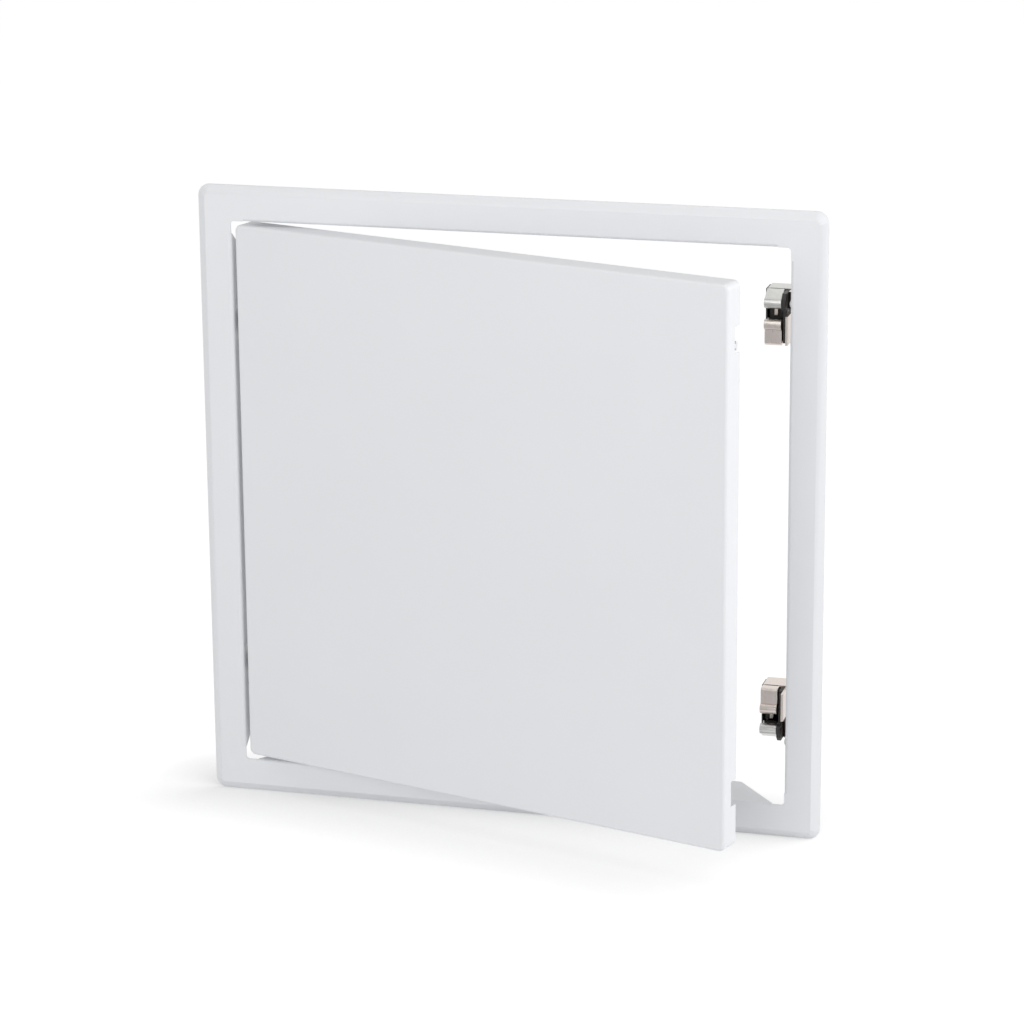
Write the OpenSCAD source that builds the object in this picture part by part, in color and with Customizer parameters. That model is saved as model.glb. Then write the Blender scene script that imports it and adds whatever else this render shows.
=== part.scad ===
// Flush access panel for a ceiling or wall: a folded sheet-steel frame with a bevelled flange, a pan door
// on two concealed hinges, and two push-to-open latches whose jaws grip a striker on the door's free edge.
//
// Every piece is drawn with the panel lying face up: x runs across, y runs up the panel and z comes out of
// its face, with z = 0 on the flange's front. The finished part is then stood upright, front towards -Y.

/* [Opening] */
// Clear width of the framed opening
opening_w = 400; // [300:5:600]
// Clear height of the framed opening
opening_h = 400; // [320:5:600]
// How far the door stands open, in degrees
door_open = 16.3; // [0:0.1:95]

/* [Frame sheet] */
// Thickness of the frame's sheet steel
frame_sheet = 1.2; // [0.8:0.1:1.6]
// Width of the flange that covers the cut edge of the ceiling
flange_w = 25; // [20:0.5:40]
// Height of the flange's front above the ceiling
flange_proud = 6; // [5.6:0.2:8]
// Width of the bevel round the flange, seen from the front
bevel_w = 6; // [4:0.25:6.5]
// Depth of that bevel
bevel_d = 4.6; // [3:0.2:4.6]
// Radius of the flange's outer corners, seen from the front
flange_corner_r = 8.25; // [8.25:0.25:12]
// Radius of the fold between flange and flap
flap_fold_r = 2.5; // [2:0.25:3]
// Radius of the opening's corners, seen from the front
opening_corner_r = 2.5; // [1:0.25:3]
// Depth of the flaps behind the flange's front
flap_depth = 40; // [38:0.5:48]
// Length of flange at each corner that carries no flap
flap_relief = 9; // [5:0.5:10]
// How much each end of a flap is drawn in at its rear edge
flap_taper = 30; // [20:1:32]
// Diameter of the fixing holes in the flaps
fixing_hole_d = 5; // [4:0.25:6]
// Distance of a fixing hole from the end of the opening
fixing_inset = 130; // [115:1:140]
// Depth of the fixing holes behind the flange's front
fixing_depth = 24; // [18:0.5:30]

/* [Door] */
// Gap between the door's edge and the opening
door_gap = 3; // [2.5:0.25:4]
// Thickness of the door's sheet steel
door_sheet = 1.2; // [0.8:0.1:1.5]
// Depth of the door pan
pan_depth = 17; // [14:0.5:17.5]
// Radius of the folds round the door's front
pan_fold_r = 2.2; // [1.8:0.1:2.2]
// Radius of the door's corners, seen from the front
pan_corner_r = 4.5; // [4.5:0.25:7]

/* [Hinges] */
// Distance of a hinge's centre from the top or bottom of the opening
hinge_inset = 74; // [65:1:90]
// Distance of the hinge axis from the door's hinged edge
axis_inset = 7; // [6.5:0.25:9]
// Depth of the hinge axis behind the door's front
axis_depth = 5; // [4.8:0.1:6]
// Radius of the hinge pins
hinge_pin_r = 1.5; // [1.2:0.1:1.6]
// Thickness of the hinge stampings
hinge_sheet = 1.6; // [1.2:0.1:1.6]
// Length of the rolled knuckle on the frame's bracket
knuckle_l = 20; // [14:1:20]
// Depth behind the flange's front at which the bracket's arm crosses
arm_depth = 18; // [18:0.5:20]
// Depth of the bracket's base along the flap
hinge_base_d = 20; // [16:0.5:20]
// Height of the notch in the door's return that clears a hinge
hinge_notch_h = 25; // [24.8:0.2:28]

/* [Latches] */
// Distance of a latch's mouth from the top or bottom of the opening
latch_inset = 53; // [52:1:60]
// Depth of the jaws' noses behind the flange's front
nose_depth = 26; // [25:0.5:29]
// Width of a jaw across the panel
jaw_w = 12; // [10:0.5:13]
// Half of the mouth's height between the open jaws
mouth_half = 3.8; // [3.6:0.1:4.2]
// Reach of the inner jaw's block from the mouth's middle
block_reach = 22.4; // [21.4:0.2:23]
// Reach of the outer jaw's slanted arm from the mouth's middle
arm_reach = 16; // [15.4:0.2:17]
// Thickness of a jaw's side walls and outer wall
jaw_wall = 1.2; // [1:0.1:1.4]
// Radius of a jaw's rounded nose
nose_r = 3.8; // [3.4:0.1:3.9]
// Distance of a jaw's pivot behind the noses
pivot_back = 15.5; // [15.25:0.25:16]
// Distance of a jaw's pivot from the mouth's middle
pivot_half = 9; // [8.5:0.25:9.5]
// Radius of the jaw pins
jaw_pin_r = 1.5; // [1.2:0.1:1.6]
// Travel of the carriage when the door is pushed
latch_travel = 3; // [2:0.1:3]
// Wall of the housing's sleeve
sleeve_wall = 1.2; // [1:0.1:1.6]
// Thickness of the housing's cheek
cheek_t = 3; // [2:0.25:3.5]
// Thickness of the latch bracket
bracket_sheet = 1.6; // [1.2:0.1:1.6]
// Thickness of the cover over a latch's outer half
cover_sheet = 1; // [0.8:0.1:1.4]
// Distance of the bracket's side plate from the flap
bracket_offset = 6.4; // [5.5:0.1:8]
// Wire radius of the latch spring
spring_wire_r = 0.45; // [0.35:0.05:0.5]
// Turns of the latch spring
spring_turns = 5; // [4:1:6]

/* [Strikers] */
// Thickness of a striker
striker_sheet = 1.6; // [1.2:0.1:2]
// Width of a striker's foot
striker_w = 16; // [12:0.5:18]
// Half of the neck's height
neck_half = 1.5; // [1.2:0.1:1.5]
// Half of the arrow head's height
head_half = 3.2; // [2.8:0.1:3.2]
// Height of the notch in the door's return that clears a latch rivet
latch_notch_h = 18; // [14:0.5:20]
// Depth of that notch from the door's rear edge
latch_notch_d = 7; // [5:0.25:7]

/* [Clearances] */
// Radial clearance of a pin in its bore
pin_clearance = 0.05; // [0.02:0.01:0.1]
// Clearance between parts that slide or turn past each other
slide_clearance = 0.4; // [0.3:0.05:0.5]

/* [Hidden] */
$fn = 64;
cut = 1;

// Finishes
white_coat = [0.87, 0.88, 0.90];
zinc = [0.70, 0.71, 0.72];
nickel = [0.78, 0.75, 0.73];
black_moulding = [0.06, 0.06, 0.065];

// Opening and door edges
half_w = opening_w / 2;
half_h = opening_h / 2;
door_w = opening_w - 2 * door_gap;
door_h = opening_h - 2 * door_gap;
skin_back = -door_sheet;
rim_overlap = 1.2;
face_overlap = 0.2;

// Hinges
hinge_y = half_h - hinge_inset;
axis_x = -door_w / 2 + axis_inset;
axis_z = -axis_depth;
knuckle_bore_r = hinge_pin_r + pin_clearance;
knuckle_r = knuckle_bore_r + hinge_sheet;
ear_t = 2;
ear_r = 3.2;
ear_y = knuckle_l / 2 + slide_clearance;
leaf_start = 5;
leaf_l = 22;
leaf_half_h = ear_y + ear_t;
leaf_x = axis_x + leaf_start;
ear_back_x = leaf_x + leaf_l * 0.75;
pin_head_r = hinge_pin_r + 0.9;
pin_head_t = 1;
hinge_base_h = 24;
hinge_rivet_z = -arm_depth - hinge_base_d * 0.6;
hinge_wide_z = -arm_depth - hinge_base_d * 0.3;
notch_front_z = -pan_fold_r - 0.1;
bend_r = 0.6;

// Rivets
rivet_r = 1.6;
rivet_head_r = 3;
rivet_head_h = 1.8;
rivet_tail_r = 2.6;
rivet_tail_h = 1;
rivet_bore_l = 8;
hinge_rivet_spacing = 12;

// Latches, across the panel
latch_y = half_h - latch_inset;
plate_outer_x = half_w - bracket_offset;
plate_inner_x = plate_outer_x - bracket_sheet;
cheek_inner_x = plate_inner_x - cheek_t;
jaw_play = 0.6;
jaw_x1 = cheek_inner_x - jaw_play;
jaw_x0 = jaw_x1 - jaw_w;
jaw_x = (jaw_x0 + jaw_x1) / 2;
core_w = jaw_w - 2 * jaw_wall - 2 * slide_clearance;

// Latches, from the front backwards
nose_step = 3.6;
boss_r = 4;
ear_core_r = 3.5;
skim = 0.1;
shoulder_play = 0.5;
head_l = 2.5;
pivot_z = -nose_depth - pivot_back;
nose_z = -nose_depth - nose_r;
jaw_floor_z = nose_z - nose_r - 2 * skim;
block_chamfer = 1.5;
block_front_z = -nose_depth - nose_step;
block_rear_z = pivot_z + 4.4;
arm_rear_z = pivot_z + 3.5;
heel_drop = 0.5;
shoulder_z = nose_z - nose_r - latch_travel - shoulder_play;
striker_tip_z = shoulder_z - head_l;
pad_z = striker_tip_z - slide_clearance;
pad_half = 3.4;
pad_w = 2.4;
guide_t = 3;
guide_front_z = pivot_z - boss_r - jaw_play;
guide_rear_z = guide_front_z - guide_t;
stop_room = 2;
sleeve_z = pivot_z;
sleeve_floor_z = guide_rear_z - latch_travel - stop_room;
sleeve_rear_z = sleeve_floor_z - sleeve_wall;

// Latches, up and down the panel from the mouth's middle
nose_y = mouth_half + nose_r;
sleeve_out = pivot_half + boss_r + 2 * slide_clearance;
housing_out = sleeve_out + sleeve_wall;
heel_y = sleeve_out + slide_clearance;
housing_in = block_reach - bracket_sheet;
sleeve_in = housing_in - sleeve_wall;
sleeve_x0 = jaw_x0 - slide_clearance - sleeve_wall;
cheek_front_z = -nose_depth + 2;
cheek_low_front_z = -nose_depth - 5;
cheek_step_y = mouth_half;
cheek_chamfer = 3.5;
spring_r = 3.2;
spring_play = 0.5;
spring_bore_r = spring_r + spring_wire_r + spring_play;
spring_seat_z = pivot_z - 3;

// Latch brackets
foot_front_z = -11.5;
foot_rear_z = -flap_depth + 4.4;
foot_low_y = 3;
foot_high_y = housing_out;
plate_split = 0.5;
plate_front_z = -nose_depth + 2;
cover_z = sleeve_z + 0.6;
block_swing = 1.7;
hem_z = block_rear_z - block_swing;
latch_rivet_y = 11;
front_rivet_inset = 4;
rear_rivet_inset = 7.6;
latch_rivet_zs = [foot_front_z - front_rivet_inset, foot_rear_z + rear_rivet_inset];

// Strikers
striker_inner_x = door_w / 2 - door_sheet;
striker_top_z = -pan_fold_r - 0.5;
striker_leg = 7.6;
striker_cross_z = striker_top_z - striker_leg;
neck_root_z = -nose_depth + 4;
head_flat = 1.4;

// Moves the children from the closed door to the open one
module opened() {
    translate([axis_x, 0, axis_z])
        rotate([0, -door_open, 0])
            translate([-axis_x, 0, -axis_z])
                children();
}

// Stands the face-up panel upright, with the ceiling face on Y = 0
module upright() {
    translate([0, -flange_proud, 0])
        rotate([90, 0, 0])
            children();
}

// Places a latch or hinge drawn about y = 0 at the upper or, mirrored, the lower place
module at_end(y, lower) {
    mirror([0, lower ? 1 : 0, 0])
        translate([0, y, 0])
            children();
}

// Extrudes an outline drawn in (y, z) along x
module along_x(x0, x1) {
    translate([x0, 0, 0])
        rotate([90, 0, 90])
            linear_extrude(x1 - x0)
                children();
}

// Extrudes an outline drawn in (x, z) along y
module along_y(y0, y1) {
    translate([0, y1, 0])
        rotate([90, 0, 0])
            linear_extrude(y1 - y0)
                children();
}

// Rectangle from one corner to the other
module box2(a, b) {
    translate([min(a[0], b[0]), min(a[1], b[1])])
        square([abs(b[0] - a[0]), abs(b[1] - a[1])]);
}

// Quarter of a ring about the origin, in the quadrant that sx and sy give
module quarter_ring(r_out, r_in, sx, sy) {
    intersection() {
        difference() {
            circle(r_out);
            circle(r_in);
        }
        box2([0, 0], [sx * (r_out + cut), sy * (r_out + cut)]);
    }
}

// Rounded rectangle about the origin
module rounded_rect(w, h, r) {
    square([w - 2 * r, h], center = true);
    square([w, h - 2 * r], center = true);
    for (sx = [-1, 1], sy = [-1, 1])
        translate([sx * (w / 2 - r), sy * (h / 2 - r)])
            circle(r);
}

// Outline of the flange's rim in (y, z), its lip ending at u_end: a strip of flat face, bevel and lip
module rim_outline(u_end) {
    slope = atan2(bevel_d, bevel_w);
    crease_u = u_end - bevel_w;
    crease_back = frame_sheet * tan(slope / 2);
    lip_back = frame_sheet * tan((90 - slope) / 2);
    polygon([
        [crease_u - rim_overlap, 0], [crease_u, 0], [u_end, -bevel_d], [u_end, -flange_proud],
        [u_end - frame_sheet, -flange_proud], [u_end - frame_sheet, -bevel_d - lip_back],
        [crease_u - crease_back, -frame_sheet], [crease_u - rim_overlap, -frame_sheet]
    ]);
}

// Right-hand half of the flange's flat face, from the bare inner corner along the mitre to the rim
function face_points(half) = let (
    arc_start = flange_w - flange_corner_r,
    reach = flange_corner_r - bevel_w - rim_overlap + face_overlap
) [
    [half - flap_relief, flap_fold_r], [half - flap_relief, 0],
    [half - opening_corner_r, 0], [half - opening_corner_r, -opening_corner_r],
    [half + arc_start + reach * sin(45), arc_start + reach * cos(45)],
    [half + arc_start, arc_start + reach]
];

// Flange's flat face between its two mitres, with the opening's corners rounded
module flange_face(half) {
    right = face_points(half);
    left = [for (i = [len(right) - 1:-1:0]) [-right[i][0], right[i][1]]];
    difference() {
        translate([0, 0, -frame_sheet])
            linear_extrude(frame_sheet)
                polygon(concat(right, left));
        for (end = [-1, 1])
            translate([end * (half - opening_corner_r), -opening_corner_r, -frame_sheet - cut])
                cylinder(r = opening_corner_r, h = frame_sheet + 2 * cut);
    }
}

// Rim round half of a flange corner, from the end of the straight rim to the mitre
module corner_rim(end) {
    reach = flange_corner_r + cut;
    intersection() {
        rotate_extrude()
            rim_outline(flange_corner_r);
        translate([0, 0, -flange_proud - cut])
            linear_extrude(flange_proud + 2 * cut)
                polygon([[0, 0], [end * reach, reach], [0, reach]]);
    }
}

// Flap with tapered ends and two fixing holes
module flap(half) {
    fold_half = half - flap_relief;
    rear_half = fold_half - flap_taper;
    difference() {
        translate([0, frame_sheet, 0])
            rotate([90, 0, 0])
                linear_extrude(frame_sheet)
                    polygon([
                        [-fold_half, -flap_fold_r], [fold_half, -flap_fold_r],
                        [rear_half, -flap_depth], [-rear_half, -flap_depth]
                    ]);
        for (side = [-1, 1])
            translate([side * (half - fixing_inset), 0, -fixing_depth])
                rotate([90, 0, 0])
                    cylinder(d = fixing_hole_d, h = 4 * frame_sheet, center = true);
    }
}

// One folded member along x, its flap's face on y = 0 and its flange outwards to +y
module frame_member(half) {
    arc_start = flange_w - flange_corner_r;
    fold_half = half - flap_relief;
    flange_face(half);
    along_x(-half - arc_start, half + arc_start)
        rim_outline(flange_w);
    for (end = [-1, 1])
        translate([end * (half + arc_start), arc_start, 0])
            corner_rim(end);
    along_x(-fold_half, fold_half)
        translate([flap_fold_r, -flap_fold_r])
            quarter_ring(flap_fold_r, flap_fold_r - frame_sheet, -1, 1);
    flap(half);
}

// Turns a member from the top edge to another edge of the opening
module on_edge(turn, reach) {
    rotate([0, 0, turn])
        translate([0, reach, 0])
            children();
}

module top_rail() {
    color(white_coat) upright() on_edge(0, half_h) frame_member(half_w);
}

module bottom_rail() {
    color(white_coat) upright() on_edge(180, half_h) frame_member(half_w);
}

// Rivet holes through the hinge jamb's flap, drawn in the panel's own frame
module hinge_rivet_places() {
    for (lower = [false, true], side = [-1, 1])
        at_end(hinge_y, lower)
            translate([-half_w, side * hinge_rivet_spacing / 2, hinge_rivet_z])
                children();
}

// Rivet holes through the latch jamb's flap, drawn in the panel's own frame
module latch_rivet_places() {
    for (lower = [false, true], z = latch_rivet_zs)
        at_end(latch_y, lower)
            translate([half_w, latch_rivet_y, z])
                rotate([0, 0, 180])
                    children();
}

// Bore for a rivet along x
module rivet_bore() {
    rotate([0, 90, 0])
        cylinder(r = rivet_r + pin_clearance, h = rivet_bore_l, center = true);
}

module hinge_jamb() {
    color(white_coat) upright()
        difference() {
            on_edge(90, half_w) frame_member(half_h);
            hinge_rivet_places() rivet_bore();
        }
}

module latch_jamb() {
    color(white_coat) upright()
        difference() {
            on_edge(-90, half_w) frame_member(half_h);
            latch_rivet_places() rivet_bore();
        }
}

// Domed rivet along +x from the seat of its plate, with its tail behind the flap
module rivet(plate_t) {
    dome_r = (rivet_head_r * rivet_head_r + rivet_head_h * rivet_head_h) / (2 * rivet_head_h);
    rotate([0, 90, 0])
        rotate_extrude() {
            intersection() {
                translate([0, plate_t + rivet_head_h - dome_r]) circle(dome_r);
                box2([0, plate_t], [rivet_head_r + cut, plate_t + rivet_head_h]);
            }
            box2([0, -frame_sheet], [rivet_r, plate_t]);
            box2([0, -frame_sheet - rivet_tail_h], [rivet_tail_r, -frame_sheet]);
        }
}

module hinge_rivets() {
    color(zinc) upright() hinge_rivet_places() rivet(hinge_sheet);
}

module latch_rivets() {
    color(zinc) upright() latch_rivet_places() rivet(bracket_sheet);
}

// Outline of the hinge bracket: base on the flap, arm across, leg forward and rolled knuckle
module hinge_bracket_outline() {
    base_x = -half_w;
    leg_x = axis_x + knuckle_bore_r;
    bend_out = bend_r + hinge_sheet;
    box2([base_x, -arm_depth - bend_out], [base_x + hinge_sheet, -arm_depth - hinge_base_d]);
    translate([base_x + bend_out, -arm_depth - bend_out])
        quarter_ring(bend_out, bend_r, -1, 1);
    box2([base_x + bend_out, -arm_depth], [leg_x - bend_r, -arm_depth - hinge_sheet]);
    translate([leg_x - bend_r, -arm_depth + bend_r])
        quarter_ring(bend_out, bend_r, 1, -1);
    box2([leg_x, -arm_depth + bend_r], [leg_x + hinge_sheet, axis_z]);
    translate([axis_x, axis_z])
        circle(knuckle_r);
}

module hinge_bracket(lower) {
    color(zinc) upright() at_end(hinge_y, lower)
        difference() {
            union() {
                along_y(-knuckle_l / 2, knuckle_l / 2) hinge_bracket_outline();
                along_y(-hinge_base_h / 2, hinge_base_h / 2)
                    box2([-half_w, hinge_wide_z],
                         [-half_w + hinge_sheet, -arm_depth - hinge_base_d]);
            }
            translate([axis_x, 0, axis_z])
                rotate([90, 0, 0])
                    cylinder(r = knuckle_bore_r, h = knuckle_l + 2 * cut, center = true);
            for (side = [-1, 1])
                translate([-half_w, side * hinge_rivet_spacing / 2, hinge_rivet_z])
                    rivet_bore();
        }
}

module upper_hinge_bracket() { hinge_bracket(false); }
module lower_hinge_bracket() { hinge_bracket(true); }

// Solid block with rounded corners and a rounded front rim, its front on z = 0
module rimmed_block(w, h, depth, corner_r, rim_r) {
    translate([0, 0, -depth])
        linear_extrude(depth - rim_r)
            rounded_rect(w, h, corner_r);
    translate([0, 0, -rim_r])
        linear_extrude(rim_r)
            rounded_rect(w - 2 * rim_r, h - 2 * rim_r, corner_r - rim_r);
    for (side = [-1, 1]) {
        translate([side * (w / 2 - rim_r), 0, -rim_r])
            along_y(-h / 2 + corner_r, h / 2 - corner_r)
                intersection() {
                    circle(rim_r);
                    box2([0, 0], [side * rim_r, rim_r]);
                }
        translate([0, side * (h / 2 - rim_r), -rim_r])
            along_x(-w / 2 + corner_r, w / 2 - corner_r)
                intersection() {
                    circle(rim_r);
                    box2([0, 0], [side * rim_r, rim_r]);
                }
    }
    for (quarter = [0:3])
        let (across = quarter % 2 == 0 ? w : h, along = quarter % 2 == 0 ? h : w)
            rotate([0, 0, 90 * quarter])
                translate([across / 2 - corner_r, along / 2 - corner_r, 0])
                    rotate_extrude(angle = 90)
                        translate([corner_r - rim_r, -rim_r])
                            intersection() {
                                circle(rim_r);
                                box2([0, 0], [rim_r, rim_r]);
                            }
}

module door_panel() {
    color(white_coat) upright() opened()
        difference() {
            rimmed_block(door_w, door_h, pan_depth, pan_corner_r, pan_fold_r);
            translate([0, 0, -door_sheet])
                rimmed_block(door_w - 2 * door_sheet, door_h - 2 * door_sheet, pan_depth,
                             pan_corner_r - door_sheet, pan_fold_r - door_sheet);
            for (lower = [false, true]) {
                at_end(latch_y + latch_rivet_y, lower)
                    translate([door_w / 2 - pan_corner_r, -latch_notch_h / 2, -pan_depth - cut])
                        cube([pan_corner_r + cut, latch_notch_h, latch_notch_d + cut]);
                at_end(hinge_y, lower)
                    translate([-door_w / 2 - cut, -hinge_notch_h / 2, -pan_depth - cut])
                        cube([cut + 2 * door_sheet, hinge_notch_h, pan_depth + cut + notch_front_z]);
            }
        }
}

// Outline of a hinge leaf's ear, from its round eye back to the skin
module ear_outline() {
    translate([axis_x, axis_z])
        circle(ear_r);
    polygon([
        [axis_x, axis_z + ear_r], [ear_back_x, axis_z + ear_r],
        [ear_back_x, skin_back - hinge_sheet], [axis_x, axis_z - ear_r]
    ]);
}

module hinge_leaf(lower) {
    color(zinc) upright() opened() at_end(hinge_y, lower)
        difference() {
            union() {
                along_y(-leaf_half_h, leaf_half_h)
                    box2([leaf_x, skin_back], [leaf_x + leaf_l, skin_back - hinge_sheet]);
                for (side = [-1, 1])
                    mirror([0, side < 0 ? 1 : 0, 0])
                        along_y(ear_y, ear_y + ear_t) ear_outline();
            }
            translate([axis_x, 0, axis_z])
                rotate([90, 0, 0])
                    cylinder(r = knuckle_bore_r, h = 2 * leaf_half_h + 2 * cut, center = true);
        }
}

module upper_hinge_leaf() { hinge_leaf(false); }
module lower_hinge_leaf() { hinge_leaf(true); }

// Headed pin along y through the two ears and the knuckle
module hinge_pin(lower) {
    color(zinc) upright() opened() at_end(hinge_y, lower)
        translate([axis_x, 0, axis_z])
            rotate([-90, 0, 0]) {
                translate([0, 0, -leaf_half_h - pin_head_t])
                    cylinder(r = hinge_pin_r, h = 2 * leaf_half_h + pin_head_t);
                translate([0, 0, leaf_half_h])
                    cylinder(r = pin_head_r, h = pin_head_t);
            }
}

module upper_hinge_pin() { hinge_pin(false); }
module lower_hinge_pin() { hinge_pin(true); }

// Side outline of a striker's tongue in (y, z): wide root, neck and arrow head
module tongue_outline() {
    polygon([
        [-striker_w / 2, striker_cross_z + striker_sheet], [-striker_w / 2, striker_cross_z],
        [-neck_half, neck_root_z], [-neck_half, shoulder_z],
        [-head_half, shoulder_z], [-head_half, shoulder_z - head_flat], [-neck_half, striker_tip_z],
        [neck_half, striker_tip_z], [head_half, shoulder_z - head_flat], [head_half, shoulder_z],
        [neck_half, shoulder_z], [neck_half, neck_root_z],
        [striker_w / 2, striker_cross_z], [striker_w / 2, striker_cross_z + striker_sheet]
    ]);
}

module striker(lower) {
    tongue_x0 = jaw_x - striker_sheet / 2;
    color(white_coat) upright() opened() at_end(latch_y, lower) {
        along_y(-striker_w / 2, striker_w / 2) {
            box2([striker_inner_x - striker_sheet, striker_top_z], [striker_inner_x, striker_cross_z]);
            box2([tongue_x0, striker_cross_z + striker_sheet], [striker_inner_x, striker_cross_z]);
        }
        along_x(tongue_x0, tongue_x0 + striker_sheet) tongue_outline();
    }
}

module upper_striker() { striker(false); }
module lower_striker() { striker(true); }

// Side outline of a latch bracket's outer half: foot on the flap, web inwards and side plate back
module bracket_foot_outline() {
    bend_out = bend_r + bracket_sheet;
    box2([half_w - bracket_sheet, foot_front_z], [half_w, foot_rear_z + bend_out]);
    translate([half_w - bend_out, foot_rear_z + bend_out])
        quarter_ring(bend_out, bend_r, 1, -1);
    box2([half_w - bend_out, foot_rear_z], [plate_inner_x + bend_out, foot_rear_z + bracket_sheet]);
    translate([plate_inner_x + bend_out, foot_rear_z + bracket_sheet - bend_out])
        quarter_ring(bend_out, bend_r, -1, 1);
    box2([plate_inner_x, foot_rear_z + bracket_sheet - bend_out], [plate_outer_x, sleeve_rear_z]);
}

module latch_bracket(lower) {
    color(nickel) upright() at_end(latch_y, lower)
        difference() {
            union() {
                along_y(foot_low_y, foot_high_y) bracket_foot_outline();
                along_x(plate_inner_x, plate_outer_x) {
                    box2([-housing_in, cover_z], [housing_out, sleeve_rear_z]);
                    box2([-housing_in, plate_front_z], [-plate_split, cover_z]);
                }
                along_y(-housing_in - bracket_sheet, -housing_in)
                    box2([jaw_x0, hem_z], [plate_outer_x, sleeve_rear_z]);
            }
            for (z = latch_rivet_zs)
                translate([half_w, latch_rivet_y, z])
                    rivet_bore();
        }
}

module upper_latch_bracket() { latch_bracket(false); }
module lower_latch_bracket() { latch_bracket(true); }

// Plate on the housing's outer wall, behind the outer jaw
module latch_cover(lower) {
    color(zinc) upright() at_end(latch_y, lower)
        along_y(housing_out, housing_out + cover_sheet)
            box2([jaw_x0, cover_z], [plate_outer_x, sleeve_rear_z]);
}

module upper_latch_cover() { latch_cover(false); }
module lower_latch_cover() { latch_cover(true); }

// Moulded sleeve with its cavity, and the cheek that stands forward beside the jaws
module latch_housing(lower) {
    color(black_moulding) upright() at_end(latch_y, lower)
        difference() {
            union() {
                along_x(sleeve_x0, plate_inner_x)
                    box2([-housing_in, sleeve_z], [housing_out, sleeve_rear_z]);
                along_x(cheek_inner_x, plate_inner_x)
                    polygon([
                        [cheek_step_y, cheek_front_z], [housing_out - cheek_chamfer, cheek_front_z],
                        [housing_out, cheek_front_z - cheek_chamfer], [housing_out, sleeve_z],
                        [-housing_in, sleeve_z], [-housing_in, cheek_low_front_z],
                        [cheek_step_y, cheek_low_front_z]
                    ]);
            }
            along_x(jaw_x0 - slide_clearance, jaw_x1 + slide_clearance)
                box2([-sleeve_in, sleeve_z + cut], [sleeve_out, sleeve_floor_z]);
        }
}

module upper_latch_housing() { latch_housing(false); }
module lower_latch_housing() { latch_housing(true); }

// Slider that carries the jaws: guide block, core between the jaws' walls and spring bore
module latch_carriage(lower) {
    color(black_moulding) upright() at_end(latch_y, lower)
        difference() {
            union() {
                along_x(jaw_x0, jaw_x1)
                    box2([slide_clearance - sleeve_in, guide_front_z],
                         [sleeve_out - slide_clearance, guide_rear_z]);
                along_x(jaw_x - core_w / 2, jaw_x + core_w / 2) {
                    box2([-pivot_half - ear_core_r, pivot_z], [pivot_half + ear_core_r, guide_front_z]);
                    for (side = [-1, 1])
                        translate([side * pivot_half, pivot_z])
                            circle(ear_core_r);
                }
            }
            for (side = [-1, 1])
                translate([jaw_x, side * pivot_half, pivot_z])
                    rotate([0, 90, 0])
                        cylinder(r = jaw_pin_r + pin_clearance, h = jaw_w, center = true);
            translate([jaw_x, 0, guide_rear_z - cut])
                cylinder(r = spring_bore_r, h = spring_seat_z - guide_rear_z + cut);
        }
}

module upper_latch_carriage() { latch_carriage(false); }
module lower_latch_carriage() { latch_carriage(true); }

// Upright pad on the carriage's core that the striker's tip pushes on
module push_pad(lower) {
    color(nickel) upright() at_end(latch_y, lower)
        along_x(jaw_x - pad_w / 2, jaw_x + pad_w / 2)
            box2([-pad_half, pad_z], [pad_half, pivot_z]);
}

module upper_push_pad() { push_pad(false); }
module lower_push_pad() { push_pad(true); }

module jaw_pins(lower) {
    color(zinc) upright() at_end(latch_y, lower)
        for (side = [-1, 1])
            translate([jaw_x, side * pivot_half, pivot_z])
                rotate([0, 90, 0])
                    cylinder(r = jaw_pin_r, h = jaw_w, center = true);
}

module upper_jaw_pins() { jaw_pins(false); }
module lower_jaw_pins() { jaw_pins(true); }

// Outer face of a jaw in (y, z) from its nose to its rear edge: stepped on the inner jaw, else slanted
function jaw_face(inner) = inner ? [
    [nose_y, block_front_z], [block_reach - block_chamfer, block_front_z],
    [block_reach, block_front_z - block_chamfer], [block_reach, block_rear_z]
] : [
    [nose_y, nose_z], [nose_y + nose_r - skim, nose_z], [arm_reach, arm_rear_z],
    [heel_y, arm_rear_z - heel_drop]
];

// The same face as seen from the hollow behind it, one wall further in, from the floor to the rear edge
function hollow_face(inner) = let (
    slant = (arm_reach - nose_y - nose_r + skim) / (nose_z - arm_rear_z),
    wall = jaw_wall * sqrt(1 + slant * slant)
) inner ? [
    [block_reach - jaw_wall, jaw_floor_z], [block_reach - jaw_wall, block_rear_z],
    [block_reach + cut, block_rear_z]
] : [
    [arm_reach - wall - slant * (jaw_floor_z - arm_rear_z), jaw_floor_z], [arm_reach - wall, arm_rear_z],
    [arm_reach + cut, arm_rear_z]
];

// Solid jaw on the +y side of the mouth: rounded nose, body and pivot boss
module jaw_blank(inner) {
    along_x(jaw_x0, jaw_x1)
        polygon(concat(jaw_face(inner), [
            [pivot_half + boss_r - skim, pivot_z - skim], [pivot_half - boss_r + skim, pivot_z - skim],
            [nose_y, jaw_floor_z - 2]
        ]));
    along_x(jaw_x0, jaw_x1)
        translate([nose_y, nose_z])
            circle(nose_r);
    along_x(jaw_x0, jaw_x1)
        translate([pivot_half, pivot_z])
            circle(boss_r);
}

// Jaw hollow behind its nose, with two side walls on the pin
module jaw(inner) {
    clear_reach = (inner ? block_reach : arm_reach) + cut;
    clear_z = pivot_z - boss_r - cut;
    difference() {
        jaw_blank(inner);
        along_x(jaw_x0 + jaw_wall, jaw_x1 - jaw_wall)
            polygon(concat([[0, jaw_floor_z]], hollow_face(inner), [[clear_reach, clear_z], [0, clear_z]]));
        translate([jaw_x, pivot_half, pivot_z])
            rotate([0, 90, 0])
                cylinder(r = jaw_pin_r + pin_clearance, h = jaw_w + 2 * cut, center = true);
    }
}

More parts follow.
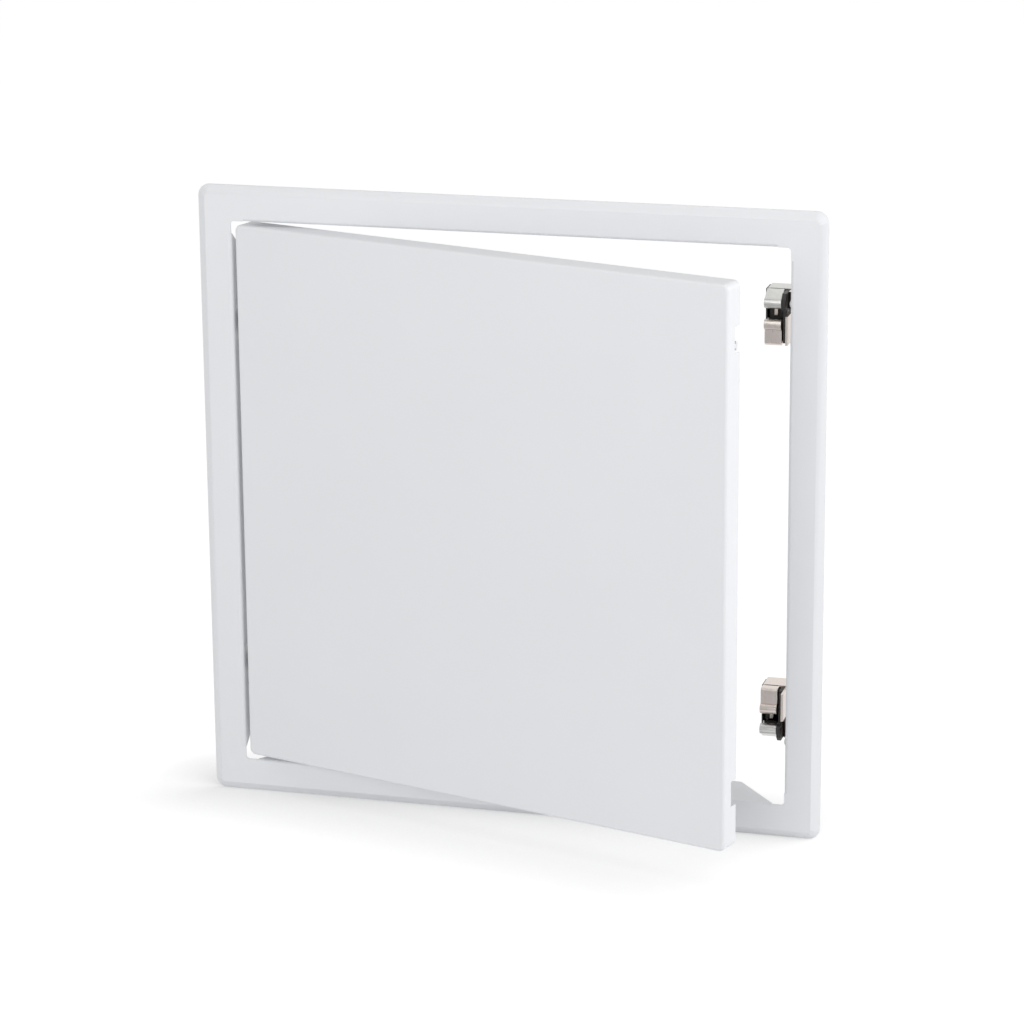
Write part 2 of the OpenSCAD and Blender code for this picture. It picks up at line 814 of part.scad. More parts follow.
module placed_jaw(lower, inner) {
    color(inner ? nickel : zinc) upright() at_end(latch_y, lower)
        mirror([0, inner ? 1 : 0, 0])
            jaw(inner);
}

module upper_outer_jaw() { placed_jaw(false, false); }
module upper_inner_jaw() { placed_jaw(false, true); }
module lower_outer_jaw() { placed_jaw(true, false); }
module lower_inner_jaw() { placed_jaw(true, true); }

// Coil spring between the carriage's bore and the sleeve's floor
module latch_spring(lower) {
    ring_sides = 8;
    steps_per_turn = 16;
    steps = spring_turns * steps_per_turn;
    top = spring_seat_z - spring_wire_r - pin_clearance;
    bottom = sleeve_floor_z + spring_wire_r + pin_clearance;
    rings = [for (i = [0:steps])
        let (turn = 360 * i / steps_per_turn, z = bottom + (top - bottom) * i / steps)
            [for (k = [0:ring_sides - 1])
                let (a = 360 * k / ring_sides, reach = spring_r + spring_wire_r * cos(a))
                    [reach * cos(turn), reach * sin(turn), z + spring_wire_r * sin(a)]]];
    points = [for (ring = rings) each ring];
    walls = [for (i = [0:steps - 1], k = [0:ring_sides - 1])
        let (n = (k + 1) % ring_sides, a = i * ring_sides, b = a + ring_sides)
            each [[a + k, b + k, b + n], [a + k, b + n, a + n]]];
    last = (steps + 1) * ring_sides - 1;
    caps = [[for (k = [0:ring_sides - 1]) k], [for (k = [0:ring_sides - 1]) last - k]];
    color(zinc) upright() at_end(latch_y, lower)
        translate([jaw_x, 0, 0])
            polyhedron(points, concat(walls, caps));
}

module upper_latch_spring() { latch_spring(false); }
module lower_latch_spring() { latch_spring(true); }

top_rail();
bottom_rail();
hinge_jamb();
latch_jamb();
upper_hinge_bracket();
lower_hinge_bracket();
hinge_rivets();
upper_latch_bracket();
lower_latch_bracket();
upper_latch_cover();
lower_latch_cover();
latch_rivets();
upper_latch_housing();
lower_latch_housing();
upper_latch_spring();
lower_latch_spring();
door_panel();
upper_hinge_leaf();
lower_hinge_leaf();
upper_hinge_pin();
lower_hinge_pin();
upper_striker();
lower_striker();
upper_latch_carriage();
lower_latch_carriage();
upper_push_pad();
lower_push_pad();
upper_jaw_pins();
lower_jaw_pins();
upper_outer_jaw();
upper_inner_jaw();
lower_outer_jaw();
lower_inner_jaw();
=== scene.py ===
"""Looks of a flush access panel: a powder-coated sheet-steel frame, a pan door on two concealed hinges, and
two push-to-open latches, standing on a white studio floor.

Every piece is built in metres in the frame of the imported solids: +X runs from the hinges to the latches,
+Y goes into the void behind the ceiling and +Z is up. The front of the panel faces -Y.
"""

import logging
import math
from collections.abc import Callable, Sequence
from dataclasses import dataclass
from enum import Enum

import bmesh
import bpy
from mathutils import Matrix, Vector


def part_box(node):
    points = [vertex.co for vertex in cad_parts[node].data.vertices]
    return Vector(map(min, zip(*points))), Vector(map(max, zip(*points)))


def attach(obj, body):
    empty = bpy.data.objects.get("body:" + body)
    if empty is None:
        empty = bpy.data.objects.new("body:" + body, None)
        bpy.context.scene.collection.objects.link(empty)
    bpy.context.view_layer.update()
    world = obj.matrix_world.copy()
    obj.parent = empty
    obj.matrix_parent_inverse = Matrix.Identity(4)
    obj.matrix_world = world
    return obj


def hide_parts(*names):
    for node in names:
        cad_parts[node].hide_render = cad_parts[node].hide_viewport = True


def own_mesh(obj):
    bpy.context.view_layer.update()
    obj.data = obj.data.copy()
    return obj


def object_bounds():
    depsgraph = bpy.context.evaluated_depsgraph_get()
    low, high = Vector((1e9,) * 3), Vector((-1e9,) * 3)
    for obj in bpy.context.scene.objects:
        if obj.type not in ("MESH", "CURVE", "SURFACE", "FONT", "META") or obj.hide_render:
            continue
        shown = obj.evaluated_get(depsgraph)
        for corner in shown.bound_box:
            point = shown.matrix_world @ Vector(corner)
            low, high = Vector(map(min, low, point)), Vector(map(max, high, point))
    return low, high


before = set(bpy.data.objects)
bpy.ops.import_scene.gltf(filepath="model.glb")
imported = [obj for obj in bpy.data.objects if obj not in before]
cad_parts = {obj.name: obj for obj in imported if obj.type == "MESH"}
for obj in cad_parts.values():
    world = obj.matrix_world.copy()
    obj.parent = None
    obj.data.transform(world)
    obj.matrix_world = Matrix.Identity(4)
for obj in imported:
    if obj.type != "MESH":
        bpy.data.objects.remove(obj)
CAD_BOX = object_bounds()

Colour = tuple[float, float, float]
Triple = tuple[float, float, float]
MM = 0.001
WHITE = (1.0, 1.0, 1.0, 1.0)
EDGE_ATTRIBUTE = "edge"
AXIS_ATTRIBUTE = "axis"
UPRIGHT_DEG = 90.0

log = logging.getLogger("access_panel")


class Slot(Enum):
    """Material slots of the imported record."""

    WHITE = "white_coat"
    ZINC = "zinc_steel"
    NICKEL = "nickel_steel"
    BLACK = "black_plastic"
    SPRING = "spring_steel"


class Place(Enum):
    """The two places of a hinge or latch."""

    UPPER = "upper"
    LOWER = "lower"

    @property
    def word(self) -> str:
        """The place's word in the names of nodes and pieces."""
        return self.value


class Jaw(Enum):
    """The two jaws of a latch, seen from the panel's middle."""

    OUTER = "outer"
    INNER = "inner"


class NodeBench:
    """A node tree that is being wired, with its nodes set out from left to right."""

    STEP = 220.0
    # Sockets of the Mix node that carry colours
    MIX_SHARE = 0
    MIX_FIRST = 6
    MIX_SECOND = 7
    MIX_RESULT = 2

    def __init__(self, tree: bpy.types.NodeTree) -> None:
        """Starts on a tree.

        Args:
            tree: The tree to add nodes to.
        """
        self.tree = tree

    def add(self, kind: str, inputs: dict | None = None, **settings: object) -> bpy.types.Node:
        """Adds a node.

        Args:
            kind: Blender's name of the node type.
            inputs: Values or output sockets for its inputs, by name or number.
            settings: Properties of the node.

        Returns:
            The new node.
        """
        node = self.tree.nodes.new(kind)
        node.location = (self.STEP * len(self.tree.nodes), 0.0)
        for key, value in settings.items():
            setattr(node, key, value)
        for key, value in (inputs or {}).items():
            self.feed(node.inputs[key], value)
        return node

    def feed(self, socket: bpy.types.NodeSocket, value: object) -> None:
        """Links an output to an input socket, or sets a plain value on it.

        Args:
            socket: The input socket.
            value: An output socket, or a value of the input's type.
        """
        if isinstance(value, bpy.types.NodeSocket):
            self.tree.links.new(value, socket)
        else:
            socket.default_value = value

    def maths(self, operation: str, first: object, second: object = 0.0) -> bpy.types.NodeSocket:
        """Adds a Math node of two numbers and returns its output."""
        return self.add("ShaderNodeMath", {0: first, 1: second}, operation=operation).outputs[0]

    def noise(self, place: object, scale: object, detail: float) -> bpy.types.NodeSocket:
        """Adds a Noise node and returns its value."""
        return self.add("ShaderNodeTexNoise", {"Vector": place, "Scale": scale, "Detail": detail}).outputs[0]

    def ramp(self, value: object, low: float, high: float) -> bpy.types.NodeSocket:
        """Adds a Map Range node from 0..1 to low..high and returns its output."""
        return self.add("ShaderNodeMapRange", {"Value": value, "To Min": low, "To Max": high}).outputs[0]

    def blend(self, share: object, first: object, second: object) -> bpy.types.NodeSocket:
        """Adds a colour Mix node and returns its output."""
        inputs = {self.MIX_SHARE: share, self.MIX_FIRST: first, self.MIX_SECOND: second}
        return self.add("ShaderNodeMix", inputs, data_type="RGBA").outputs[self.MIX_RESULT]

    def join(self, x: object, y: object, z: object) -> bpy.types.NodeSocket:
        """Adds a node that joins three numbers, and returns its vector."""
        return self.add("ShaderNodeCombineXYZ", {"X": x, "Y": y, "Z": z}).outputs[0]

    def bump(self, height: object, strength: float, depth: float) -> bpy.types.NodeSocket:
        """Adds a Bump node and returns its normal."""
        inputs = {"Strength": strength, "Distance": depth, "Height": height}
        return self.add("ShaderNodeBump", inputs).outputs[0]


@dataclass(frozen=True)
class Effect:
    """A shader node group that several finishes share.

    Attributes:
        name: Name of the group.
        inputs: Socket types of its inputs, by name.
        outputs: Socket types of its outputs, by name.
        wire: Function that wires the group between its two ends.
    """

    name: str
    inputs: dict[str, str]
    outputs: dict[str, str]
    wire: Callable[[NodeBench, dict, dict], None]

    def group(self) -> bpy.types.NodeTree:
        """Builds the group once.

        Returns:
            The group's tree.
        """
        found = bpy.data.node_groups.get(self.name)
        if found is not None:
            return found
        tree = bpy.data.node_groups.new(self.name, "ShaderNodeTree")
        for direction, sockets in (("INPUT", self.inputs), ("OUTPUT", self.outputs)):
            for name, kind in sockets.items():
                tree.interface.new_socket(name=name, in_out=direction, socket_type=kind)
        bench = NodeBench(tree)
        source = bench.add("NodeGroupInput")
        target = bench.add("NodeGroupOutput")
        self.wire(bench, source.outputs, target.inputs)
        return tree

    def put(self, bench: NodeBench, **inputs: object) -> bpy.types.Node:
        """Places the group in a material.

        Args:
            bench: The material's bench.
            inputs: Values or sockets for the group's inputs.

        Returns:
            The group node.
        """
        node = bench.add("ShaderNodeGroup", node_tree=self.group())
        for key, value in inputs.items():
            bench.feed(node.inputs[key], value)
        return node


FLOAT = "NodeSocketFloat"
VECTOR = "NodeSocketVector"
CLOUD_SCALE_SHARE = 0.02


def wire_orange_peel(bench: NodeBench, source: dict, target: dict) -> None:
    """Fine pebbling of a baked powder coat, and the broad cloudiness of its film.

    Args:
        bench: The group's bench.
        source: The group's inputs, by name.
        target: Its outputs, by name.
    """
    broad_scale = bench.maths("MULTIPLY", source["Scale"], CLOUD_SCALE_SHARE)
    bench.feed(target["Height"], bench.noise(source["Vector"], source["Scale"], detail=2.0))
    bench.feed(target["Cloud"], bench.noise(source["Vector"], broad_scale, detail=3.0))


def wire_brushed_grain(bench: NodeBench, source: dict, target: dict) -> None:
    """Streaks and spangle of plated sheet; the streaks are noise drawn out along one direction.

    Args:
        bench: The group's bench.
        source: The group's inputs, by name.
        target: Its outputs, by name.
    """
    sides = {0: source["Vector"], 1: source["Stretch"]}
    drawn = bench.add("ShaderNodeVectorMath", sides, operation="MULTIPLY")
    spangle = bench.add("ShaderNodeTexVoronoi", {"Vector": source["Vector"], "Scale": source["Scale"]})
    bench.feed(target["Streak"], bench.noise(drawn.outputs[0], source["Scale"], detail=4.0))
    bench.feed(target["Spangle"], spangle.outputs["Color"])


def wire_edge_wear(bench: NodeBench, source: dict, target: dict) -> None:
    """Rubbed arrises: the mesh's edge attribute, broken up by noise.

    Args:
        bench: The group's bench.
        source: The group's inputs, by name.
        target: Its outputs, by name.
    """
    breakup = bench.noise(source["Vector"], source["Scale"], detail=3.0)
    rubbed = bench.maths("MULTIPLY", source["Edge"], bench.ramp(breakup, low=0.2, high=1.4))
    bench.feed(target["Mask"], bench.maths("MULTIPLY", rubbed, source["Amount"]))


def wire_settled_dust(bench: NodeBench, source: dict, target: dict) -> None:
    """Thin dust on faces that look up.

    Args:
        bench: The group's bench.
        source: The group's inputs, by name.
        target: Its outputs, by name.
    """
    normal = bench.add("ShaderNodeNewGeometry").outputs["Normal"]
    up = bench.maths("MAXIMUM", bench.add("ShaderNodeSeparateXYZ", {0: normal}).outputs["Z"], 0.0)
    patches = bench.noise(source["Vector"], source["Scale"], detail=5.0)
    lying = bench.maths("MULTIPLY", up, bench.ramp(patches, low=0.3, high=1.0))
    bench.feed(target["Mask"], bench.maths("MULTIPLY", lying, source["Amount"]))


ORANGE_PEEL = Effect("orange_peel", {"Vector": VECTOR, "Scale": FLOAT}, {"Height": FLOAT, "Cloud": FLOAT},
                     wire_orange_peel)
BRUSHED_GRAIN = Effect("brushed_grain", {"Vector": VECTOR, "Stretch": VECTOR, "Scale": FLOAT},
                       {"Streak": FLOAT, "Spangle": "NodeSocketColor"}, wire_brushed_grain)
EDGE_WEAR = Effect("edge_wear", {"Edge": FLOAT, "Vector": VECTOR, "Scale": FLOAT, "Amount": FLOAT},
                   {"Mask": FLOAT}, wire_edge_wear)
SETTLED_DUST = Effect("settled_dust", {"Vector": VECTOR, "Scale": FLOAT, "Amount": FLOAT}, {"Mask": FLOAT},
                      wire_settled_dust)


@dataclass(frozen=True)
class Finish:
    """Surface finish of a piece.

    Attributes:
        name: Name of the material.
        slot: The record's slot that it stands for.
        colour: Its main colour, in linear light.
    """

    name: str
    slot: Slot
    colour: Colour

    def material(self) -> bpy.types.Material:
        """Builds the material once.

        Returns:
            The material.
        """
        found = bpy.data.materials.get(self.name)
        if found is not None:
            return found
        material = bpy.data.materials.new(self.name)
        material.use_nodes = True
        material.diffuse_color = (*self.colour, 1.0)
        material.node_tree.nodes.clear()
        bench = NodeBench(material.node_tree)
        place = bench.add("ShaderNodeTexCoord").outputs["Object"]
        shader = bench.add("ShaderNodeBsdfPrincipled")
        self.wire(bench, place, shader)
        bench.add("ShaderNodeOutputMaterial", {"Surface": shader.outputs[0]})
        return material

    def wire(self, bench: NodeBench, place: bpy.types.NodeSocket, shader: bpy.types.Node) -> None:
        """Wires the surface into the shader.

        Args:
            bench: The material's bench.
            place: Object coordinates.
            shader: The Principled shader.
        """
        raise NotImplementedError

    def tint(self, share: float) -> tuple[float, float, float, float]:
        """The main colour times a share, with full alpha."""
        return (*(min(1.0, c * share) for c in self.colour), 1.0)


@dataclass(frozen=True)
class PowderCoat(Finish):
    """White satin powder coat with a slight orange peel."""

    peel_scale: float = 700.0
    peel_depth: float = 0.00004
    peel_strength: float = 0.35
    cloud_low: float = 0.985
    cloud_high: float = 1.015
    rough_low: float = 0.42
    rough_high: float = 0.5
    specular: float = 0.4
    dust_colour: Colour = (0.62, 0.61, 0.58)
    dust_scale: float = 60.0
    dust_amount: float = 0.06

    def wire(self, bench: NodeBench, place: bpy.types.NodeSocket, shader: bpy.types.Node) -> None:
        """Wires the coat: cloudy film, thin dust, pebbled normal.

        Args:
            bench: The material's bench.
            place: Object coordinates.
            shader: The Principled shader.
        """
        peel = ORANGE_PEEL.put(bench, Vector=place, Scale=self.peel_scale)
        dust = SETTLED_DUST.put(bench, Vector=place, Scale=self.dust_scale, Amount=self.dust_amount)
        cloud = peel.outputs["Cloud"]
        film = bench.blend(cloud, self.tint(self.cloud_low), self.tint(self.cloud_high))
        dusty = bench.blend(dust.outputs["Mask"], film, (*self.dust_colour, 1.0))
        bench.feed(shader.inputs["Base Color"], dusty)
        bench.feed(shader.inputs["Roughness"], bench.ramp(cloud, self.rough_low, self.rough_high))
        bump = bench.bump(peel.outputs["Height"], self.peel_strength, self.peel_depth)
        bench.feed(shader.inputs["Normal"], bump)
        shader.inputs["Specular IOR Level"].default_value = self.specular


@dataclass(frozen=True)
class PlatedSteel(Finish):
    """Plated sheet steel with rolled streaks, faint spangle and rubbed arrises."""

    stretch: Triple = (1.0, 1.0, 0.06)
    grain_scale: float = 900.0
    grain_depth: float = 0.00002
    grain_strength: float = 0.04
    rough_low: float = 0.3
    rough_high: float = 0.38
    streak_low: float = 0.97
    streak_high: float = 1.03
    spangle: float = 0.05
    wear: float = 0.6
    wear_scale: float = 500.0
    wear_tint: float = 1.3

    def wire(self, bench: NodeBench, place: bpy.types.NodeSocket, shader: bpy.types.Node) -> None:
        """Wires the plating: streaks in colour, roughness and normal, with brighter arrises.

        Args:
            bench: The material's bench.
            place: Object coordinates.
            shader: The Principled shader.
        """
        grain = BRUSHED_GRAIN.put(bench, Vector=place, Stretch=self.stretch, Scale=self.grain_scale)
        edge = bench.add("ShaderNodeAttribute", attribute_name=EDGE_ATTRIBUTE).outputs["Fac"]
        worn = EDGE_WEAR.put(bench, Edge=edge, Vector=place, Scale=self.wear_scale, Amount=self.wear)
        streak = grain.outputs["Streak"]
        streaked = bench.blend(streak, self.tint(self.streak_low), self.tint(self.streak_high))
        plating = bench.blend(self.spangle, streaked, grain.outputs["Spangle"])
        rubbed = bench.blend(worn.outputs["Mask"], plating, self.tint(self.wear_tint))
        bench.feed(shader.inputs["Base Color"], rubbed)
        shader.inputs["Metallic"].default_value = 1.0
        bench.feed(shader.inputs["Roughness"], bench.ramp(streak, self.rough_low, self.rough_high))
        bench.feed(shader.inputs["Normal"], bench.bump(streak, self.grain_strength, self.grain_depth))


@dataclass(frozen=True)
class MouldedPlastic(Finish):
    """Black moulded plastic with a fine spark-eroded texture."""

    grain_scale: float = 2200.0
    grain_depth: float = 0.00003
    grain_strength: float = 0.3
    cloud_low: float = 0.8
    cloud_high: float = 1.2
    rough_low: float = 0.42
    rough_high: float = 0.58
    wear: float = 0.25
    wear_scale: float = 400.0
    wear_tint: float = 3.0
    dust_colour: Colour = (0.3, 0.29, 0.27)
    dust_scale: float = 180.0
    dust_amount: float = 0.08

    def wire(self, bench: NodeBench, place: bpy.types.NodeSocket, shader: bpy.types.Node) -> None:
        """Wires the moulding: fine grain, grey rubbed arrises and thin dust.

        Args:
            bench: The material's bench.
            place: Object coordinates.
            shader: The Principled shader.
        """
        grain = ORANGE_PEEL.put(bench, Vector=place, Scale=self.grain_scale)
        edge = bench.add("ShaderNodeAttribute", attribute_name=EDGE_ATTRIBUTE).outputs["Fac"]
        worn = EDGE_WEAR.put(bench, Edge=edge, Vector=place, Scale=self.wear_scale, Amount=self.wear)
        dust = SETTLED_DUST.put(bench, Vector=place, Scale=self.dust_scale, Amount=self.dust_amount)
        cloud = grain.outputs["Cloud"]
        base = bench.blend(cloud, self.tint(self.cloud_low), self.tint(self.cloud_high))
        rubbed = bench.blend(worn.outputs["Mask"], base, self.tint(self.wear_tint))
        dusty = bench.blend(dust.outputs["Mask"], rubbed, (*self.dust_colour, 1.0))
        bench.feed(shader.inputs["Base Color"], dusty)
        bench.feed(shader.inputs["Roughness"], bench.ramp(cloud, self.rough_low, self.rough_high))
        bump = bench.bump(grain.outputs["Height"], self.grain_strength, self.grain_depth)
        bench.feed(shader.inputs["Normal"], bump)


@dataclass(frozen=True)
class Finishes:
    """Every finish on the panel."""

    coat: PowderCoat = PowderCoat("white_powder_coat", Slot.WHITE, (0.80, 0.81, 0.83))
    zinc: PlatedSteel = PlatedSteel("zinc_plated_steel", Slot.ZINC, (0.61, 0.61, 0.585))
    nickel: PlatedSteel = PlatedSteel(
        "nickel_plated_steel", Slot.NICKEL, (0.69, 0.62, 0.57), rough_low=0.26, rough_high=0.30)
    moulding: MouldedPlastic = MouldedPlastic("black_moulding", Slot.BLACK, (0.018, 0.017, 0.016))
    wire: PlatedSteel = PlatedSteel("spring_wire", Slot.SPRING, (0.5, 0.5, 0.5), stretch=(1.0, 1.0, 1.0))


def finished(
    mesh: bpy.types.Mesh, name: str, finish: Finish, body: str, nodes: Sequence[str]
) -> bpy.types.Object:
    """Makes a piece of a mesh that is in place, and lets it ride on its body.

    Args:
        mesh: The piece's mesh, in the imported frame.
        name: Name of the piece.
        finish: Its finish.
        body: The body it rides on.
        nodes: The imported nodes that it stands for.

    Returns:
        The piece.
    """
    mesh.name = name
    if not mesh.materials:
        mesh.materials.append(finish.material())
    piece = bpy.data.objects.new(name, mesh)
    bpy.context.scene.collection.objects.link(piece)
    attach(piece, body)
    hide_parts(*nodes)
    log.info("%s: %d faces, rides on %s", name, len(mesh.polygons), body)
    return piece


@dataclass
class Softener:
    """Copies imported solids, merges their triangles and rounds their sharp edges.

    Attributes:
        round_mm: Radius of the rounding, in millimetres.
        segments: Faces across each rounding.
        sharp_deg: Least angle of an edge that is rounded.
        merge_mm: Distance within which points are merged, in millimetres.
        flat_deg: Angle up to which faces count as one flat face.
        drop: Test for faces that are left out, such as those inside a weld.
    """

    round_mm: float = 0.25
    segments: int = 2
    sharp_deg: float = 38.0
    merge_mm: float = 0.004
    flat_deg: float = 0.4
    drop: Callable[[bmesh.types.BMFace], bool] | None = None

    def merged(self, nodes: Sequence[str]) -> bpy.types.Mesh:
        """Joins copies of the nodes into one mesh of large flat faces.

        Args:
            nodes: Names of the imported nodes.

        Returns:
            The merged mesh.
        """
        shape = bmesh.new()
        for node in nodes:
            shape.from_mesh(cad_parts[node].data)
        bmesh.ops.remove_doubles(shape, verts=shape.verts, dist=self.merge_mm * MM)
        if self.drop is not None:
            inside = [face for face in shape.faces if self.drop(face)]
            bmesh.ops.delete(shape, geom=inside, context="FACES")
        flat = math.radians(self.flat_deg)
        bmesh.ops.dissolve_limit(shape, angle_limit=flat, verts=shape.verts, edges=shape.edges)
        mesh = bpy.data.meshes.new("merged")
        shape.to_mesh(mesh)
        shape.free()
        mesh.materials.clear()
        return mesh

    def mesh(self, nodes: Sequence[str]) -> bpy.types.Mesh:
        """Makes the softened mesh of the nodes.

        Args:
            nodes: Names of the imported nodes.

        Returns:
            A plain mesh with rounded edges, even normals and the edge attribute.
        """
        work = bpy.data.objects.new("softening", self.merged(nodes))
        bpy.context.scene.collection.objects.link(work)
        work.data.shade_smooth()
        bevel = work.modifiers.new("round", "BEVEL")
        bevel.limit_method = "ANGLE"
        bevel.angle_limit = math.radians(self.sharp_deg)
        bevel.width = self.round_mm * MM
        bevel.segments = self.segments
        bevel.miter_outer = "MITER_ARC"
        even = work.modifiers.new("even", "WEIGHTED_NORMAL")
        even.keep_sharp = True
        mesh = plain_mesh(work)
        mark_edges(mesh)
        return mesh


def plain_mesh(work: bpy.types.Object) -> bpy.types.Mesh:
    """Turns an object and its modifiers into a plain mesh, and removes the object.

    Args:
        work: The object.

    Returns:
        The mesh that its modifiers make.
    """
    graph = bpy.context.evaluated_depsgraph_get()
    shaped = work.evaluated_get(graph)
    mesh = bpy.data.meshes.new_from_object(shaped, preserve_all_data_layers=True, depsgraph=graph)
    work.modifiers.clear()
    bpy.data.objects.remove(work)
    return mesh


def mark_edges(mesh: bpy.types.Mesh, flat_deg: float = 12.0, full_deg: float = 40.0) -> None:
    """Stores on each vertex how sharp the surface turns there, from 0 on flats to 1 on arrises.

    Args:
        mesh: The mesh to mark.
        flat_deg: Angle that still counts as flat.
        full_deg: Angle that counts as a full arris.
    """
    shape = bmesh.new()
    shape.from_mesh(mesh)
    corners = [[edge.calc_face_angle(0.0) for edge in vertex.link_edges] for vertex in shape.verts]
    shape.free()
    attribute = mesh.attributes.new(EDGE_ATTRIBUTE, "FLOAT", "POINT")
    span = full_deg - flat_deg
    turns = [math.degrees(max(angles, default=0.0)) for angles in corners]
    shares = [min(1.0, max(0.0, (turn - flat_deg) / span)) for turn in turns]
    attribute.data.foreach_set("value", shares)


class GrowthTree:
    """A geometry node tree with named inputs, and what it makes of a seed mesh."""

    def __init__(self, name: str, inputs: dict[str, str]) -> None:
        """Starts a tree that takes a geometry and named inputs.

        Args:
            name: Name of the tree.
            inputs: Socket types of its inputs, by name.
        """
        self.tree = bpy.data.node_groups.new(name, "GeometryNodeTree")
        sockets = self.tree.interface
        sockets.new_socket(name="Geometry", in_out="INPUT", socket_type="NodeSocketGeometry")
        for key, kind in inputs.items():
            sockets.new_socket(name=key, in_out="INPUT", socket_type=kind)
        sockets.new_socket(name="Geometry", in_out="OUTPUT", socket_type="NodeSocketGeometry")
        self.bench = NodeBench(self.tree)
        self.source = self.bench.add("NodeGroupInput").outputs
        self.target = self.bench.add("NodeGroupOutput").inputs

    def spot(self) -> bpy.types.NodeOutputs:
        """Adds a node that splits each point's position, and returns its outputs."""
        position = self.bench.add("GeometryNodeInputPosition").outputs[0]
        return self.bench.add("ShaderNodeSeparateXYZ", {0: position}).outputs

    def close(self, geometry: bpy.types.NodeSocket) -> None:
        """Ends the tree: realizes the instances, shades them smooth and gives them their material.

        Args:
            geometry: The geometry to hand out.
        """
        real = self.bench.add("GeometryNodeRealizeInstances", {0: geometry}).outputs[0]
        smooth = self.bench.add("GeometryNodeSetShadeSmooth", {0: real}).outputs[0]
        inputs = {"Geometry": smooth, "Material": self.source["Material"]}
        self.bench.feed(self.target[0], self.bench.add("GeometryNodeSetMaterial", inputs).outputs[0])

    def grow(self, seed: bpy.types.Mesh, values: dict[str, object]) -> bpy.types.Mesh:
        """Runs the tree on a seed mesh.

        Args:
            seed: The mesh that the tree starts from.
            values: Values of its inputs, by name.

        Returns:
            A plain mesh.
        """
        work = bpy.data.objects.new("seed", seed)
        bpy.context.scene.collection.objects.link(work)
        modifier = work.modifiers.new("growth", "NODES")
        modifier.node_group = self.tree
        for item in self.tree.interface.items_tree:
            if item.in_out == "INPUT" and item.name in values:
                modifier[item.identifier] = values[item.name]
        mesh = plain_mesh(work)
        mark_edges(mesh)
        return mesh


class StudTree(GrowthTree):
    """Domed rivets on seed points, each with a set tail behind the sheet."""

    SIZES = ("Head Radius", "Head Height", "Seat", "Core Radius", "Tail Radius", "Tail Height", "Grip")
    CORE_SEAT_SHARE = 0.9
    CORE_HEIGHT_SHARE = 0.16
    SEGMENTS = 28
    RINGS = 14

    def __init__(self) -> None:
        """Builds the tree."""
        sockets = {name: FLOAT for name in self.SIZES}
        super().__init__("studs", {**sockets, "Material": "NodeSocketMaterial"})
        bench, source = self.bench, self.source
        head = self.dome(source["Head Radius"], source["Head Height"], source["Seat"])
        rise = bench.maths("MULTIPLY", source["Head Height"], self.CORE_SEAT_SHARE)
        core_height = bench.maths("MULTIPLY", source["Head Height"], self.CORE_HEIGHT_SHARE)
        core = self.dome(source["Core Radius"], core_height, bench.maths("ADD", source["Seat"], rise))
        tail_depth = bench.maths("MULTIPLY", source["Tail Height"], -1.0)
        tail = self.dome(source["Tail Radius"], tail_depth, bench.maths("MULTIPLY", source["Grip"], -1.0))
        turned = bench.add("GeometryNodeFlipFaces", {0: tail}).outputs[0]
        rivet = self.joined(head, core, turned)
        name = {"Name": AXIS_ATTRIBUTE}
        axis = bench.add("GeometryNodeInputNamedAttribute", name, data_type="FLOAT_VECTOR").outputs[0]
        turn = bench.add("FunctionNodeAlignRotationToVector", {"Vector": axis}, axis="Z").outputs[0]
        inputs = {"Points": source["Geometry"], "Instance": rivet, "Rotation": turn}
        self.close(bench.add("GeometryNodeInstanceOnPoints", inputs).outputs[0])

    def joined(self, *parts: bpy.types.NodeSocket) -> bpy.types.NodeSocket:
        """Joins geometries.

        Args:
            parts: The geometries to join.

        Returns:
            The joined geometry.
        """
        node = self.bench.add("GeometryNodeJoinGeometry")
        for part in parts:
            self.bench.tree.links.new(part, node.inputs[0])
        return node.outputs[0]

    def dome(self, radius: object, height: object, seat: object) -> bpy.types.NodeSocket:
        """Adds a dome that stands on its seat.

        Args:
            radius: Radius of its foot.
            height: Its height; a negative height points down.
            seat: Where its foot lies.

        Returns:
            The dome's geometry.
        """
        bench = self.bench
        sizes = {"Segments": self.SEGMENTS, "Rings": self.RINGS, "Radius": 1.0}
        ball = bench.add("GeometryNodeMeshUVSphere", sizes).outputs[0]
        spot = self.spot()
        lift = bench.maths("MULTIPLY", bench.maths("MAXIMUM", spot["Z"], 0.0), height)
        across = [bench.maths("MULTIPLY", spot[axis], radius) for axis in ("X", "Y")]
        shaped = bench.join(*across, bench.maths("ADD", lift, seat))
        return bench.add("GeometryNodeSetPosition", {"Geometry": ball, "Position": shaped}).outputs[0]

    @staticmethod
    def seeds(places: Sequence[tuple[Vector, Vector]]) -> bpy.types.Mesh:
        """Makes the seed points.

        Args:
            places: Seat and outward direction of each stud.

        Returns:
            A mesh of loose points with their directions.
        """
        mesh = bpy.data.meshes.new("seeds")
        mesh.from_pydata([tuple(seat) for seat, _ in places], [], [])
        axes = mesh.attributes.new(AXIS_ATTRIBUTE, "FLOAT_VECTOR", "POINT")
        axes.data.foreach_set("vector", [number for _, axis in places for number in axis])
        return mesh


